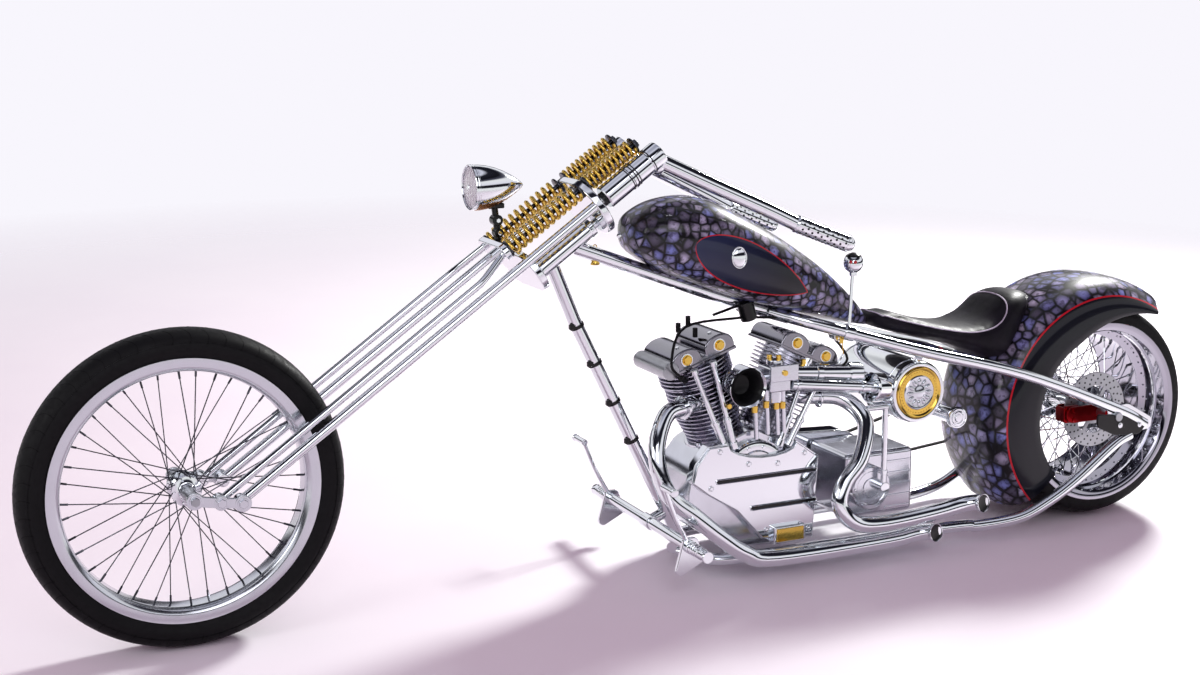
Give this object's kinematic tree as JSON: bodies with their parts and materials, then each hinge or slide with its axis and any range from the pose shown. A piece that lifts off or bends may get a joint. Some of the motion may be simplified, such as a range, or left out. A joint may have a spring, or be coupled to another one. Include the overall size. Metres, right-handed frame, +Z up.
{
  "type": "chopper motorcycle",
  "caption": "Long chopper motorcycle with an outside-spring leading-link fork, rigid tube frame, V-twin engine, wide rear tyre and a side stand, leaning on the stand.",
  "frame": {"origin": "middle of the bounding box, on the ground under the leaning bike", "axes": "+X forward, +Y the bike's left (nearer the camera), +Z up"},
  "size_m": [3.4436, 0.7131, 1.2126],
  "materials": {
    "tyre": "matt black tyre rubber",
    "chrome": "bright chrome plate",
    "steel": "brushed steel",
    "alloy": "polished cast alloy",
    "gold": "gold plated",
    "black_metal": "gloss black",
    "red_metal": "red anodised caliper",
    "belt_rubber": "black toothed belt",
    "lacquer": "dark artwork under clear lacquer",
    "leather": "black leather",
    "lens_glass": "clear fluted lens"
  },
  "bodies": {
    "frame": {"neck_tube": "chrome", "backbone": "chrome", "downtube": "chrome", "seat_stay_left": "chrome", "seat_stay_right": "chrome", "lower_rail_left": "chrome", "lower_rail_right": "chrome", "rear_axle": "steel", "engine_case": "alloy", "cam_cover": "alloy", "cylinder_front": "alloy", "cylinder_rear": "alloy", "rocker_box_front": "alloy", "rocker_box_rear": "alloy", "intake_bell": "chrome", "carburettor": "alloy", "gearbox": "alloy", "primary_cover": "alloy", "drive_belt": "belt_rubber", "oil_tank": "chrome", "starter_tube": "chrome", "exhaust_front": "chrome", "exhaust_rear": "chrome", "fuel_tank": "lacquer", "rear_fender": "lacquer", "seat": "leather", "foot_control_bar": "chrome", "foot_control_left": "chrome", "foot_control_right": "chrome", "shift_lever": "chrome", "brake_caliper": "red_metal"},
    "fork": {"front_axle": "steel", "rigid_fork": "chrome", "top_clamp": "chrome", "spring_fork": "chrome", "rocker_left": "chrome", "rocker_right": "chrome", "spring_column_left": "gold", "spring_column_right": "gold", "handlebar_left": "chrome", "handlebar_right": "chrome", "headlight_shell": "chrome", "headlight_lens": "lens_glass", "headlight_bracket": "black_metal"},
    "front_wheel": {"front_tyre": "tyre", "front_rim": "chrome", "front_hub_and_spokes": "chrome"},
    "rear_wheel": {"rear_tyre": "tyre", "rear_rim": "chrome", "rear_hub_and_spokes": "chrome", "brake_disc": "steel", "belt_pulley": "black_metal"},
    "stand": {"side_stand": "chrome"}
  },
  "joints": [
    {"name": "steering", "type": "hinge", "parent": "frame", "child": "fork", "pos_m": [0.30548, -0.04808, 0.91746], "axis": [-0.8192, -0.03, 0.5728], "range_deg": [-16, 16]},
    {"name": "front_wheel_spin", "type": "hinge", "parent": "fork", "child": "front_wheel", "pos_m": [1.32175, -0.02093, 0.39945], "axis": [0, 0.9986, 0.0523], "continuous": true},
    {"name": "rear_wheel_spin", "type": "hinge", "parent": "frame", "child": "rear_wheel", "pos_m": [-1.39025, -0.01735, 0.33105], "axis": [0, 0.9986, 0.0523], "continuous": true},
    {"name": "side_stand_fold", "type": "hinge", "parent": "frame", "child": "stand", "pos_m": [-0.33025, -0.21349, 0.02286], "axis": [-0.0994, 0.0888, -0.9911], "range_deg": [0, 128]}
  ]
}
